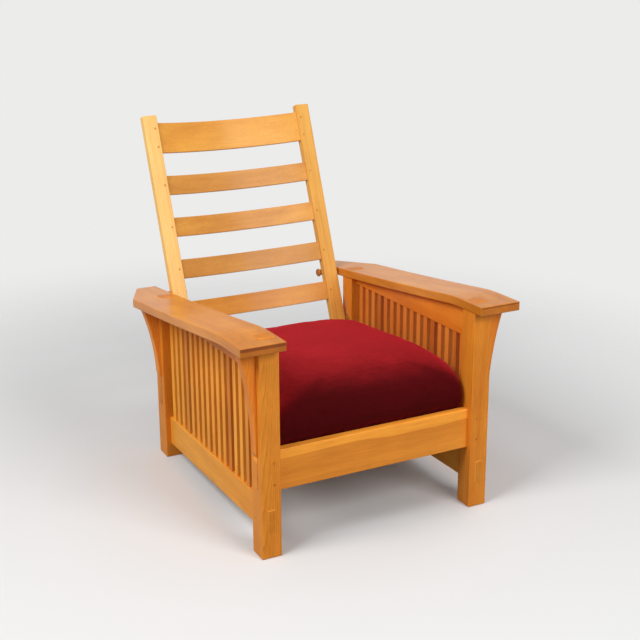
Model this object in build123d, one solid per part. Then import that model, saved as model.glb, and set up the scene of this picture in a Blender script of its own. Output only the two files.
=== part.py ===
from build123d import *
import os
from math import asin, atan, cos, degrees, radians, sin, sqrt, tan

# Mission reclining armchair: a bowed-arm, spindle-sided chair of pegged oak or cherry with a
# ladder back that pivots between the arms and leans on two pegs, and a drop-in velvet seat.
# Millimetres. +X is the viewer's right from the front, the chair faces -Y, +Z is up.
# Left and right in the names are as seen from the front: left is -X, right is +X.
#
# The frame is drawn square, with Z along the legs and zero at the front feet. The rear legs are
# cut shorter, so at the end everything is tipped back about X until all four feet are on the floor.

# Frame
back_width = 562.0           # across the back posts; the legs and arms stand clear of it
back_leg_gap = 12.0
back_arm_gap = 8.0
frame_depth = 732.0          # from the front legs' faces to the rear legs' backs
leg_size = 57.0
leg_edge_radius = 2.5
foot_chamfer = 2.0
rear_foot_cut = 28.5         # the rear legs end this much higher in the square frame

# Arms: level in front, bent down behind the front leg, then sweeping down to the rear
arm_width = 126.0
arm_thickness = 25.0
arm_edge_radius = 2.5
arm_top_height = 600.0
arm_nose = 35.0              # reach in front of the front legs
arm_tail = 146.0             # reach behind the rear legs
arm_level_run = 91.0
arm_bend_run = 80.0
arm_bend_angle = 7.3
arm_sweep_angle = 1.9        # how much of the bend the rear sweep takes back
arm_tail_width = 61.0        # width left at the rear end by the clipped outer corner
arm_clip_run = 150.0
arm_tenon_width = 41.0       # through tenon on top of each leg, across the chair
arm_tenon_depth = 37.0
tenon_proud = 1.6
tenon_ease = 1.0

# Side panels
rail_thickness = 25.0
rail_edge_radius = 2.0
lower_rail_bottom = 71.0
lower_rail_height = 86.0
lower_tenon_thickness = 20.0
lower_tenon_height = 62.0
lower_tenon_shoulder = 4.0   # under the through tenon
upper_rail_drop = 110.0      # from the arms' level tops to the rails' lower edges
upper_tenon_length = 22.0
upper_tenon_thickness = 12.0
upper_tenon_shoulder = 5.0
spindle_count = 16
spindle_size = 19.0
spindle_edge_radius = 1.2
spindle_tenon_size = 12.0
spindle_tenon_length = 10.0

# Corbels under the arms
corbel_thickness = 28.0
corbel_drop = 320.0          # from the arms' level tops to the corbels' feet
corbel_top_width = 50.0
corbel_toe_width = 7.0
corbel_toe_height = 15.0
corbel_hollow_share = 0.042  # hollow of the outer curve, as a share of its height
corbel_edge_ease = 1.2

# Seat rails
seat_rail_bottom = 180.0
seat_rail_height = 112.5
seat_tenon_thickness = 20.0  # through tenons, showing on the outer faces
seat_tenon_shoulder = 14.0
seat_rail_setback = 16.0

# Pins that lock the tenons
rail_peg_radius = 4.0
rail_peg_length = 32.0
rail_peg_proud = 0.5
rail_peg_ease = 0.4
rail_peg_inset = 19.0        # from the rail's shoulder
rail_peg_edge = 26.0         # from the rail's top or bottom edge
side_peg_inset = 16.0

# Back
back_lean_angle = 20.9       # from the square frame's upright, in degrees
post_foot_gap = 33.5         # from the seat rails' tops to the posts' feet, stood upright
post_width = 45.0
post_thickness = 25.0
post_above_pivot = 703.0
post_below_pivot = 40.0
post_edge_radius = 2.5
post_top_ease = 2.2
slat_count = 5
top_slat_width = 92.5
slat_width = 58.0
slat_gap = 71.0
slat_top_drop = 23.0         # from the posts' tops to the top slat
slat_thickness = 12.0
slat_setback = 6.0
slat_bow = 33.0
slat_edge_ease = 1.2
slat_end_angle = 1.0         # how far the bent board runs on before it is cut at the post
slat_tenon_length = 24.0
slat_tenon_thickness = 9.0
slat_tenon_shoulder = 5.0
back_peg_radius = 3.5
back_peg_length = 18.0
back_peg_proud = 0.4
back_peg_ease = 0.3
back_peg_inset = 11.0
top_slat_peg_edge = 18.0     # from the top slat's edges to its two pegs

# Pivots
pivot_pin_radius = 6.0
pivot_pin_in_leg = 36.0
pivot_pin_in_post = 34.0
pivot_bore_end_gap = 1.0
pivot_clearance = 0.05
pivot_spacer_radius = 16.0
running_gap = 0.3
pin_end_ease = 1.0

# Adjusting pegs and the holes that they plug into
prop_radius = 9.0
prop_hole_depth = 34.0
prop_end_gap = 3.0
prop_clearance = 0.05
prop_hole_count = 3
prop_hole_pitch = 32.0
prop_neck_radius = 6.0
prop_neck_length = 3.0
prop_knob_radius = 12.5
prop_knob_length = 9.0
prop_knob_reach = 9.5        # how far the knob stands out past its post
prop_tip_ease = 1.5

# Seat
cleat_height = 25.0
cleat_depth = 25.0
rear_cleat_depth = 42.0
cleat_drop = 52.5            # from the seat rails' tops to the cleats' tops
cleat_end_gap = 12.0
cleat_screw_bite = 15.0
seat_screw_bite = 13.0
seat_side_gap = 2.5          # between the covered seat and the legs
seat_end_gap = 1.5
cover_thickness = 2.5
seat_frame_thickness = 22.0
seat_frame_board = 60.0
seat_frame_rear_inset = 22.0  # from the rear seat rail to the seat frame
webbing_thickness = 1.2
webbing_width = 50.0
webbing_count = 5
webbing_gap = 0.3            # from the webbing to the seat's underside
crown_height = 153.0         # of the seat's middle above the seat rails
seat_corner_radius = 12.0
screw_radius = 2.2
screw_head_radius = 4.2
screw_head_height = 2.6
cleat_screw_count = 4
seat_screw_count = 2

# The seat's upright sides: heights as shares of its rise, and how far the front stands out over
# the rail at each, as shares of the bulge. Above them the crown draws in along an elliptic curve.
seat_front_bulge = 20.5
side_height_shares = [0, 0.163, 0.185, 0.24, 0.32]
front_bulge_shares = [0, 0, 0.5, 0.82, 1]
shoulder_height_share = 0.404
shoulder_bulge_share = 0.95
crown_step_count = 11
crown_end_angle = 82.0
crown_ridge_width = 173.0    # of the level patch that the crown's curves would end at
crown_ridge_depth = 48.0
crown_ridge_setback = 129.0  # of its middle behind the seat's middle
crown_tilt_angle = 6.1       # how far the crown falls away to the rear
crown_round_share = 0.96     # of the largest corner radius, reached where the crown ends

cut_overrun = 5.0            # how far a cutter runs past what it cuts

back_half_width = back_width / 2
leg_inner = back_half_width + back_leg_gap
half_width = leg_inner + leg_size
half_depth = frame_depth / 2
leg_x = half_width - leg_size / 2
leg_y = half_depth - leg_size / 2
panel_end = half_depth - leg_size
arm_inner = back_half_width + back_arm_gap
arm_outer = arm_inner + arm_width
upper_rail_bottom = arm_top_height - upper_rail_drop
corbel_bottom = arm_top_height - corbel_drop
arm_front = -half_depth - arm_nose
arm_rear = half_depth + arm_tail
seat_rail_top = seat_rail_bottom + seat_rail_height
pivot_height = seat_rail_top + post_foot_gap + post_below_pivot
seat_rail_y = half_depth - seat_rail_setback - rail_thickness / 2
panel_x = half_width - leg_size / 2
lower_rail_top = lower_rail_bottom + lower_rail_height
floor_slope = rear_foot_cut / (2 * leg_y)
frame_tip = atan(floor_slope)


def block(x0, x1, y0, y1, z0, z1):
    """A box between two corners."""
    size = (abs(x1 - x0), abs(y1 - y0), abs(z1 - z0))
    return Pos((x0 + x1) / 2, (y0 + y1) / 2, (z0 + z1) / 2) * Box(*size)


def side_profile(outline, x0, x1):
    """An outline drawn in the YZ plane, extruded from x0 to x1."""
    face = make_face(outline)
    return Pos(x0, 0, 0) * extrude(Plane.YZ * face, x1 - x0)


def peg(radius, length, ease):
    """A round pin along +Z from the origin, with an eased outer end."""
    pin = Pos(0, 0, length / 2) * Cylinder(radius, length)
    return chamfer(pin.edges().group_by(Axis.Z)[-1], ease)


def mirrored(shape):
    """The same piece on the other side of the chair."""
    return mirror(shape, about=Plane.YZ)


def arm_edges(offset):
    """The arm's long profile in the YZ plane, offset straight down from its top surface."""
    start = (arm_front, arm_top_height - offset)
    level = Line(start, (arm_front + arm_level_run, arm_top_height - offset))
    bend_radius = arm_bend_run / sin(radians(arm_bend_angle))
    bend = JernArc(level @ 1, level % 1, bend_radius, -arm_bend_angle)
    run_left = arm_rear - (bend @ 1).X
    mean_angle = arm_bend_angle - arm_sweep_angle / 2
    chord = run_left / cos(radians(mean_angle))
    sweep_radius = chord / (2 * sin(radians(arm_sweep_angle / 2)))
    pull = sweep_radius * tan(radians(arm_sweep_angle / 4)) * 4 / 3
    steep = radians(arm_bend_angle - arm_sweep_angle)
    end = bend @ 1 + Vector(cos(radians(mean_angle)), -sin(radians(mean_angle))) * chord
    sweep = Bezier(bend @ 1, bend @ 1 + (bend % 1) * pull,
                   end - Vector(cos(steep), -sin(steep)) * pull, end)
    return [level, bend, sweep]


def space_above(offset):
    """Everything above the arm's top surface, offset down: it trims what meets the arm."""
    low = arm_edges(offset)
    first, last = low[0] @ 0, low[-1] @ 1
    high = arm_top_height + leg_size
    lid = Polyline(last, (last.X, high), (first.X, high), first)
    return side_profile(low + [lid], -arm_outer - cut_overrun, arm_outer + cut_overrun)


under_arm_cutter = space_above(arm_thickness)
over_arm_cutter = space_above(-tenon_proud)


def arm_surface_z(y):
    """Height of the arm's top surface at a place along it."""
    level, bend, sweep = arm_edges(0)
    for edge in (level, bend, sweep):
        if y <= (edge @ 1).X or edge is sweep:
            run = (edge @ 1).X - (edge @ 0).X
            return (edge @ ((y - (edge @ 0).X) / run)).Y


def floor_z(y):
    """Height of the floor in the square frame."""
    return floor_slope * (y + half_depth)


def right_arm_blank():
    """Right arm before its mortises and peg holes, with the outer rear corner clipped."""
    top, bottom = arm_edges(0), arm_edges(arm_thickness)
    ends = [Line(top[0] @ 0, bottom[0] @ 0), Line(top[-1] @ 1, bottom[-1] @ 1)]
    arm = side_profile(top + bottom + ends, arm_inner, arm_outer)
    clip_start = arm_rear - arm_clip_run
    tail = arm_inner + arm_tail_width
    clip = make_face(Polyline((arm_outer, clip_start), (tail, arm_rear),
                              (tail, arm_rear + arm_tail), (arm_outer + arm_tail, arm_rear),
                              (arm_outer + arm_tail, clip_start), close=True))
    arm -= Pos(0, 0, arm_top_height / 2) * extrude(clip, arm_top_height)
    seams = [e for e in arm.edges()
             if abs(e.tangent_at(0).X) > 0.99
             and arm_front + arm_nose < e.center().Y < arm_rear - arm_tail / 2]
    return fillet([e for e in arm.edges() if e not in seams], arm_edge_radius)


def arm_tenon(y_centre):
    """A leg's tenon through the arm, its end cut along the arm's top and standing proud."""
    tenon = block(leg_x - arm_tenon_width / 2, leg_x + arm_tenon_width / 2,
                  y_centre - arm_tenon_depth / 2, y_centre + arm_tenon_depth / 2,
                  upper_rail_bottom, arm_top_height + leg_size)
    return tenon - over_arm_cutter


def leg(y_centre):
    """Right leg with a slanted foot, a shoulder cut to the arm and a through tenon."""
    y0, y1 = y_centre - leg_size / 2, y_centre + leg_size / 2
    foot = [(y0, floor_z(y0)), (y1, floor_z(y1))]
    blank = side_profile(Polyline(*foot, (y1, arm_top_height), (y0, arm_top_height), close=True),
                         leg_inner, half_width)
    blank = fillet(blank.edges().filter_by(Axis.Z), leg_edge_radius)
    blank = chamfer(blank.faces().sort_by(Axis.Z)[0].edges(), foot_chamfer)
    tenon = arm_tenon(y_centre)
    tenon = chamfer(tenon.faces().sort_by(Axis.Z)[-1].edges(), tenon_ease)
    return blank - under_arm_cutter + tenon


def corbel(y_centre):
    """Right corbel: a curved bracket glued to the leg's outer face under the arm."""
    top = arm_surface_z(y_centre) - arm_thickness
    toe = (half_width + corbel_toe_width, corbel_bottom + corbel_toe_height)
    tip = (half_width + corbel_top_width, top)
    height = tip[1] - toe[1]
    middle = ((toe[0] + tip[0]) / 2 - corbel_hollow_share * height, (toe[1] + tip[1]) / 2)
    high = arm_top_height
    outline = [ThreePointArc(toe, middle, tip),
               Polyline(tip, (tip[0], high), (half_width, high), (half_width, corbel_bottom), toe)]
    blank = extrude(Plane.XZ * make_face(outline), corbel_thickness / 2, both=True)
    curves = [e for e in blank.edges() if e.geom_type == GeomType.CIRCLE]
    blank = chamfer(curves, corbel_edge_ease)
    return Pos(0, y_centre, 0) * blank - under_arm_cutter


def lower_rail():
    """Right lower side rail with its long through tenons."""
    half = rail_thickness / 2
    rail = block(panel_x - half, panel_x + half, -panel_end, panel_end,
                 lower_rail_bottom, lower_rail_top)
    rail = fillet(rail.edges().filter_by(Axis.Y), rail_edge_radius)
    low = lower_rail_bottom + lower_tenon_shoulder
    reach = half_depth + tenon_proud
    tenon = block(panel_x - lower_tenon_thickness / 2, panel_x + lower_tenon_thickness / 2,
                  -reach, reach, low, low + lower_tenon_height)
    tenon = chamfer(tenon.faces().sort_by(Axis.Y)[0].edges(), tenon_ease)
    tenon = chamfer(tenon.faces().sort_by(Axis.Y)[-1].edges(), tenon_ease)
    return rail + tenon


def upper_rail():
    """Right upper side rail: straight below, cut to the arm's bow above, with stub tenons."""
    half = rail_thickness / 2
    rail = block(panel_x - half, panel_x + half, -panel_end, panel_end,
                 upper_rail_bottom, arm_top_height) - under_arm_cutter
    reach = panel_end + upper_tenon_length
    tenon = block(panel_x - upper_tenon_thickness / 2, panel_x + upper_tenon_thickness / 2,
                  -reach, reach, upper_rail_bottom + upper_tenon_shoulder, arm_top_height)
    tenon -= Pos(0, 0, -upper_tenon_shoulder) * under_arm_cutter
    return rail + tenon


def spindle_places():
    """Centres of the spindles along the side panel, with equal gaps between and at the ends."""
    gap = (2 * panel_end - spindle_count * spindle_size) / (spindle_count + 1)
    first = -panel_end + gap + spindle_size / 2
    return [first + i * (spindle_size + gap) for i in range(spindle_count)]


def spindle(y):
    """One square spindle of the right panel with a stub tenon at each end."""
    half = spindle_size / 2
    bar = block(panel_x - half, panel_x + half, y - half, y + half,
                lower_rail_top, upper_rail_bottom)
    bar = fillet(bar.edges().filter_by(Axis.Z), spindle_edge_radius)
    return bar + spindle_core(y, spindle_tenon_length)


def spindle_core(y, length):
    """The stub tenons of a spindle as one bar: it also cuts the mortises."""
    stub = spindle_tenon_size / 2
    return block(panel_x - stub, panel_x + stub, y - stub, y + stub,
                 lower_rail_top - length, upper_rail_bottom + length)


def rear_seat_rail():
    """Rear seat rail, tenoned right through the legs; the front rail is the same board."""
    half = rail_thickness / 2
    rail = block(-leg_inner, leg_inner, seat_rail_y - half, seat_rail_y + half,
                 seat_rail_bottom, seat_rail_top)
    rail = fillet(rail.edges().filter_by(Axis.X), rail_edge_radius)
    reach = half_width + tenon_proud
    tenon = block(-reach, reach, seat_rail_y - seat_tenon_thickness / 2,
                  seat_rail_y + seat_tenon_thickness / 2,
                  seat_rail_bottom + seat_tenon_shoulder, seat_rail_top - seat_tenon_shoulder)
    tenon = chamfer(tenon.faces().sort_by(Axis.X)[0].edges(), tenon_ease)
    tenon = chamfer(tenon.faces().sort_by(Axis.X)[-1].edges(), tenon_ease)
    return rail + tenon


def rail_pegs():
    """Right-hand pins through the legs: two per seat rail end and one per lower rail end."""
    pin = Pos(0, 0, -rail_peg_length + rail_peg_proud) * peg(rail_peg_radius, rail_peg_length,
                                                           rail_peg_ease)
    heights = (seat_rail_bottom + rail_peg_edge, seat_rail_top - rail_peg_edge)
    x = leg_inner + rail_peg_inset
    front = [Pos(x, -half_depth, z) * Rot(90, 0, 0) * pin for z in heights]
    rear = [Pos(x, half_depth, z) * Rot(-90, 0, 0) * pin for z in heights]
    z = lower_rail_bottom + lower_tenon_shoulder + lower_tenon_height / 2
    side = [Pos(half_width, s * (panel_end + side_peg_inset), z) * Rot(0, 90, 0) * pin
            for s in (-1, 1)]
    return front, rear, side


# The back is drawn upright at the origin, with the pivot axis on X, then leaned and set in place.
post_inner = back_half_width - post_width
back_place = Pos(0, leg_y, pivot_height) * Rot(-back_lean_angle, 0, 0)


def slat_edges():
    """Bottom and top of each slat above the pivot, from the top one down."""
    top = post_above_pivot - slat_top_drop
    spans = []
    for i in range(slat_count):
        width = top_slat_width if i == 0 else slat_width
        spans.append((top - width, top))
        top -= width + slat_gap
    return spans


def slat(low, high):
    """A slat bowed to the rear between the posts, with straight tenons."""
    front = -post_thickness / 2 + slat_setback
    bow_radius = (post_inner ** 2 + slat_bow ** 2) / (2 * slat_bow)
    centre = front + slat_bow - bow_radius
    section = Rectangle(slat_thickness, high - low)
    section = chamfer(section.vertices(), slat_edge_ease)
    section = Pos(bow_radius + slat_thickness / 2, (low + high) / 2) * section
    half_turn = degrees(asin(post_inner / bow_radius)) + slat_end_angle
    ring = revolve(Plane.XZ * section, Axis.Z, 2 * half_turn)
    bent = Pos(0, centre, 0) * Rot(0, 0, 90 - half_turn) * ring
    rear = centre + sqrt((bow_radius + slat_thickness) ** 2 - post_inner ** 2)
    body = bent & block(-post_inner, post_inner, front - slat_thickness,
                        rear + slat_thickness + slat_bow, low - cut_overrun, high + cut_overrun)
    middle = (front + rear) / 2
    for side in (-1, 1):
        body += block(side * post_inner, side * (post_inner + slat_tenon_length),
                      middle - slat_tenon_thickness / 2, middle + slat_tenon_thickness / 2,
                      low + slat_tenon_shoulder, high - slat_tenon_shoulder)
    return body


def right_post():
    """Right back post, rounded at its foot around the pivot and eased at its top."""
    post = block(post_inner, back_half_width, -post_thickness / 2, post_thickness / 2,
                 -post_below_pivot, post_above_pivot)
    foot = [e for e in post.edges().filter_by(Axis.X) if e.center().Z < 0]
    post = fillet(foot, post_thickness / 2 - post_edge_radius)
    post = fillet(post.edges().filter_by(Axis.Z), post_edge_radius)
    post = chamfer(post.faces().sort_by(Axis.Z)[-1].edges(), post_top_ease)
    depth = pivot_pin_in_post + pivot_bore_end_gap
    bore = Cylinder(pivot_pin_radius + pivot_clearance, depth + cut_overrun)
    middle = back_half_width + (cut_overrun - depth) / 2
    return post - Pos(middle, 0, 0) * Rot(0, 90, 0) * bore


def back_pegs():
    """Pins through the right post's face into each slat's tenon, two for the wide top slat."""
    pin = Pos(0, 0, -back_peg_length + back_peg_proud) * peg(back_peg_radius, back_peg_length,
                                                           back_peg_ease)
    heights = []
    for i, (low, high) in enumerate(slat_edges()):
        heights += [low + top_slat_peg_edge, high - top_slat_peg_edge] if i == 0 else [(low + high) / 2]
    x = post_inner + back_peg_inset
    return [Pos(x, -post_thickness / 2, z) * Rot(90, 0, 0) * pin for z in heights]


def pivot_pin():
    """Right pivot pin, glued into the rear leg; the post turns on its inner end."""
    start = back_half_width - pivot_pin_in_post
    length = leg_inner + pivot_pin_in_leg - start
    pin = Pos(0, 0, length / 2) * Cylinder(pivot_pin_radius, length)
    pin = chamfer(pin.edges(), pin_end_ease)
    return Pos(start, leg_y, pivot_height) * Rot(0, 90, 0) * pin


def pivot_spacer():
    """Right spacer ring on the pin, between the post and the leg."""
    start = back_half_width + running_gap
    length = leg_inner - start
    ring = Cylinder(pivot_spacer_radius, length) - Cylinder(pivot_pin_radius, length + cut_overrun)
    return Pos(start + length / 2, leg_y, pivot_height) * Rot(0, 90, 0) * ring


# Adjusting pegs: each shaft runs level across the chair, behind its post and into the arm.


def prop_place():
    """Centre of the foremost peg hole: mid arm, and just behind the leaning post."""
    lean = radians(back_lean_angle)
    stand_off = (post_thickness / 2 + prop_radius + running_gap) / cos(lean)
    y = leg_y
    for _ in range(spindle_count):
        z = arm_surface_z(y) - arm_thickness / 2
        y = leg_y + (z - pivot_height) * tan(lean) + stand_off
    return y, z


prop_y, prop_z = prop_place()


def prop_hole(i):
    """Cutter for one of the peg holes in the right arm's inner edge."""
    y = prop_y + i * prop_hole_pitch
    z = arm_surface_z(y) - arm_thickness / 2
    bore = Cylinder(prop_radius + prop_clearance, prop_hole_depth + cut_overrun)
    x = arm_inner + (prop_hole_depth - cut_overrun) / 2
    return Pos(x, y, z) * Rot(0, 90, 0) * bore


def right_prop():
    """Turned adjusting peg: shaft, neck and a flat knob with a rounded rim, past the post."""
    start = post_inner - prop_knob_reach
    tip = arm_inner + prop_hole_depth - prop_end_gap - start
    neck = prop_knob_length + prop_neck_length
    knob_flat = prop_knob_radius - prop_knob_length / 2
    outline = [
        Polyline((knob_flat, prop_knob_length), (prop_neck_radius, prop_knob_length),
                 (prop_neck_radius, neck), (prop_radius - prop_tip_ease, neck),
                 (prop_radius, neck + prop_tip_ease), (prop_radius, tip - prop_tip_ease),
                 (prop_radius - prop_tip_ease, tip), (0, tip), (0, 0), (knob_flat, 0)),
        ThreePointArc((knob_flat, 0), (prop_knob_radius, prop_knob_length / 2),
                      (knob_flat, prop_knob_length))]
    turned = revolve(Plane.XZ * make_face(outline), Axis.Z)
    return Pos(start, prop_y, prop_z) * Rot(0, 90, 0) * turned


# Seat: cleats on the seat rails carry a loose frame with webbing and the upholstered seat.
cleat_top = seat_rail_top - cleat_drop
seat_front = -seat_rail_y + rail_thickness / 2 + seat_end_gap
seat_rear = seat_rail_y - rail_thickness / 2 - seat_frame_rear_inset
seat_half_width = leg_inner - seat_side_gap
frame_half_width = seat_half_width - cover_thickness
frame_front = seat_front + cover_thickness
frame_rear = seat_rear - cover_thickness
seat_frame_top = cleat_top + seat_frame_thickness


def cleat(side, depth):
    """Cleat along the front (side -1) or rear (side 1) seat rail's inner face, with its screws."""
    face = seat_rail_y - rail_thickness / 2
    half = leg_inner - cleat_end_gap
    bar = block(-half, half, side * (face - depth), side * face, cleat_top - cleat_height, cleat_top)
    screws = []
    across = half * (1 - 1 / cleat_screw_count)
    for i in range(cleat_screw_count):
        x = across * (2 * i / (cleat_screw_count - 1) - 1)
        spot = Pos(x, side * (face - depth), cleat_top - cleat_height / 2)
        screws.append(spot * Rot(-90 * side, 0, 0) * wood_screw(depth + cleat_screw_bite))
    across = frame_half_width - seat_frame_board
    for i in range(seat_screw_count):
        x = across * (2 * i / (seat_screw_count - 1) - 1)
        spot = Pos(x, side * (face - depth / 2), cleat_top - cleat_height)
        screws.append(spot * wood_screw(cleat_height + seat_screw_bite))
    return bar, screws[:cleat_screw_count], screws[cleat_screw_count:]


def wood_screw(length):
    """Countersunk screw along +Z, its flat head flush with the origin's plane."""
    outline = Polyline((0, 0), (screw_head_radius, 0), (screw_radius, screw_head_height),
                       (screw_radius, length - screw_head_height), (0, length), close=True)
    return revolve(Plane.XZ * make_face(outline), Axis.Z)


def seat_boards():
    """The loose seat frame: front and rear boards, and side boards between them."""
    low, high = cleat_top, seat_frame_top
    front = block(-frame_half_width, frame_half_width, frame_front, frame_front + seat_frame_board,
                  low, high)
    rear = block(-frame_half_width, frame_half_width, frame_rear - seat_frame_board, frame_rear,
                 low, high)
    side = block(frame_half_width - seat_frame_board, frame_half_width,
                 frame_front + seat_frame_board, frame_rear - seat_frame_board, low, high)
    return front, rear, side


def webbing():
    """Webbing strips side to side, and front to back on top of them."""
    def places(low, high):
        pitch = (high - low - 2 * seat_frame_board) / webbing_count
        return [low + seat_frame_board + pitch * (i + 1 / 2) for i in range(webbing_count)]

    half_strip, top = webbing_width / 2, seat_frame_top + webbing_thickness
    across = [block(-frame_half_width, frame_half_width, y - half_strip, y + half_strip,
                    seat_frame_top, top) for y in places(frame_front, frame_rear)]
    along = [block(x - half_strip, x + half_strip, frame_front, frame_rear,
                   top, top + webbing_thickness) for x in places(-frame_half_width, frame_half_width)]
    return across, along


def seat_slice(height, side_inset, front_inset, rear_inset, rounding, tilt):
    """Outline of the upholstered seat at one height: drawn in from its footprint, its corners
    rounded on towards the largest radius that fits, and tilted down to the rear."""
    x = seat_half_width - side_inset
    y0, y1 = seat_front + front_inset, seat_rear - rear_inset
    largest = crown_round_share * min(x, (y1 - y0) / 2)
    radius = seat_corner_radius + rounding * (largest - seat_corner_radius)
    middle = (seat_front + seat_rear) / 2
    outline = Pos(0, (y0 + y1) / 2 - middle, 0) * RectangleRounded(2 * x, y1 - y0, radius)
    return Pos(0, middle, height) * Rot(-tilt, 0, 0) * outline


def seat_cushion():
    """Upholstered seat: upright low sides, a front bulging over the rail, and a soft crown."""
    low = seat_frame_top + 2 * webbing_thickness + webbing_gap
    rise = seat_rail_top + crown_height - low
    even_reach = (seat_rear - seat_front - crown_ridge_depth) / 2
    front_reach = even_reach + crown_ridge_setback
    rear_reach = even_reach - crown_ridge_setback
    side_reach = seat_half_width - crown_ridge_width / 2
    slices = []
    for height, bulge in zip(side_height_shares, front_bulge_shares):
        slices.append(seat_slice(low + height * rise, 0, -bulge * seat_front_bulge, 0, 0, 0))
    for i in range(crown_step_count + 1):
        angle = radians(i * crown_end_angle / crown_step_count)
        draw = 1 - cos(angle)
        height = shoulder_height_share + (1 - shoulder_height_share) * sin(angle)
        drawn = draw ** 1.8
        front = drawn * front_reach - (1 - draw) * shoulder_bulge_share * seat_front_bulge
        slices.append(seat_slice(low + height * rise, drawn * side_reach, front,
                                 drawn * rear_reach, draw ** 0.7, sin(angle) * crown_tilt_angle))
    return loft(slices, ruled=True)


# Frame pieces on the right-hand side; the left-hand ones mirror them.
spindles = [spindle(y) for y in spindle_places()]
spindle_tenons = [spindle_core(y, spindle_tenon_length) for y in spindle_places()]
pegs_front, pegs_rear, pegs_side = rail_pegs()
rail_low = lower_rail() - spindle_tenons - pegs_side
rail_high = upper_rail() - spindle_tenons
rear_rail = rear_seat_rail()
front_rail = mirror(rear_rail, about=Plane.XZ)
front_leg = leg(-leg_y) - lower_rail() - rail_high - front_rail - pegs_front - pegs_side[0]
rear_leg = leg(leg_y) - lower_rail() - rail_high - rear_rail - pegs_rear - pegs_side[1]
rear_leg -= pivot_pin()
arm = right_arm_blank() - arm_tenon(-leg_y) - arm_tenon(leg_y)
arm -= [prop_hole(i) for i in range(prop_hole_count)]
right_side = {
    "front_{}_leg": front_leg, "rear_{}_leg": rear_leg, "{}_arm": arm,
    "{}_lower_rail": rail_low, "{}_upper_rail": rail_high, "{}_spindles": Compound(spindles),
    "front_{}_corbel": corbel(-leg_y), "rear_{}_corbel": corbel(leg_y),
    "{}_pivot_pin": pivot_pin(), "{}_pivot_spacer": pivot_spacer(),
    "{}_adjusting_peg": right_prop(),
}

front_board, rear_board, right_board = seat_boards()
right_side["seat_{}_board"] = right_board
pieces = {}
for name, shape in right_side.items():
    pieces[name.format("right")] = shape
    pieces[name.format("left")] = mirrored(shape)

# Pieces that cross the chair.
for end, board, pegs in (("front", front_rail, pegs_front), ("rear", rear_rail, pegs_rear)):
    rail = board - pegs - [mirrored(pin) for pin in pegs]
    side = -1 if end == "front" else 1
    depth = cleat_depth if end == "front" else rear_cleat_depth
    bar, screws_across, screws_up = cleat(side, depth)
    pieces[end + "_seat_rail"] = rail - screws_across
    pieces[end + "_seat_cleat"] = bar - screws_across - screws_up
    board = front_board if end == "front" else rear_board
    pieces["seat_" + end + "_board"] = board - screws_up
    pieces[end + "_cleat_screws"] = Compound(screws_across)
    pieces[end + "_seat_screws"] = Compound(screws_up)
frame_pins = pegs_front + pegs_rear + pegs_side
pieces["frame_pins"] = Compound(frame_pins + [mirrored(pin) for pin in frame_pins])
strips_across, strips_along = webbing()
pieces["webbing_across"] = Compound(strips_across)
pieces["webbing_lengthwise"] = Compound(strips_along)
pieces["seat_cushion"] = seat_cushion()

# Back, built upright and then leaned.
pins = back_pegs()
slats = [slat(low, high) for low, high in slat_edges()]
post = right_post() - slats - pins
slat_pins = pins + [mirrored(pin) for pin in pins]
back = {"right_back_post": post, "left_back_post": mirrored(post),
        "back_pins": Compound(slat_pins)}
for i, shape in enumerate(slats):
    back["back_slat_" + str(i + 1)] = shape - slat_pins
for name, shape in back.items():
    pieces[name] = back_place * shape

# Tip the frame back about the front edge of the feet, onto all four, and centre it.
tip = Pos(0, -half_depth, 0) * Rot(-degrees(frame_tip), 0, 0) * Pos(0, half_depth, 0)
tipped = {name: tip * shape for name, shape in pieces.items()}
extent = Compound(list(tipped.values())).bounding_box()
centre = Pos(0, -extent.center().Y, 0)

os.makedirs("parts", exist_ok=True)
for name, shape in tipped.items():
    export_step(centre * shape, "parts/" + name + ".step")

pivot = (centre * tip * Pos(0, leg_y, pivot_height)).position
print("pivot axis at", pivot.Y, pivot.Z)
print("frame tip in degrees", degrees(frame_tip), "shift", -extent.center().Y)
print("size", extent.size.X, extent.size.Y, extent.max.Z)
print("peg travel", arm_inner + prop_hole_depth - prop_end_gap - post_inner)
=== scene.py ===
import math
import bpy
import numpy as np
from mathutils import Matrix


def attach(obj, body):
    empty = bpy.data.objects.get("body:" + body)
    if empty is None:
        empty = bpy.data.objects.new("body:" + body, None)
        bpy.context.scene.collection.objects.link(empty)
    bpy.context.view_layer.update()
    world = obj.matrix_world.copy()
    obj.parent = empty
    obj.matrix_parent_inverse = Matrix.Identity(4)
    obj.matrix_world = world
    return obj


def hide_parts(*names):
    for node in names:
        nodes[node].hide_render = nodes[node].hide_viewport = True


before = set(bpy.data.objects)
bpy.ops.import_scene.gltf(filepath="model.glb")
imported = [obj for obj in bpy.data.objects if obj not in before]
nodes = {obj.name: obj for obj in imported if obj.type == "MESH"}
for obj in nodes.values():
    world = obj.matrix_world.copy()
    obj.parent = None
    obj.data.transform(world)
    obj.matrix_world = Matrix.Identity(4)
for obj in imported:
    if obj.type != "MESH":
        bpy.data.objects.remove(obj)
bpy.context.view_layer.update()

# Legs: four square posts of quarter-sawn oak, the grain running up them, their ends showing as
# tenons in the arm tops. Honey-coloured stain under a satin varnish, rubbed back by hand.
UP_THE_PIECE = (0.0, 0.0, 0.0)
ACROSS_THE_CHAIR = (0.0, math.radians(-90), 0.0)
FRONT_TO_BACK = (math.radians(90), 0.0, 0.0)


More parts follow.
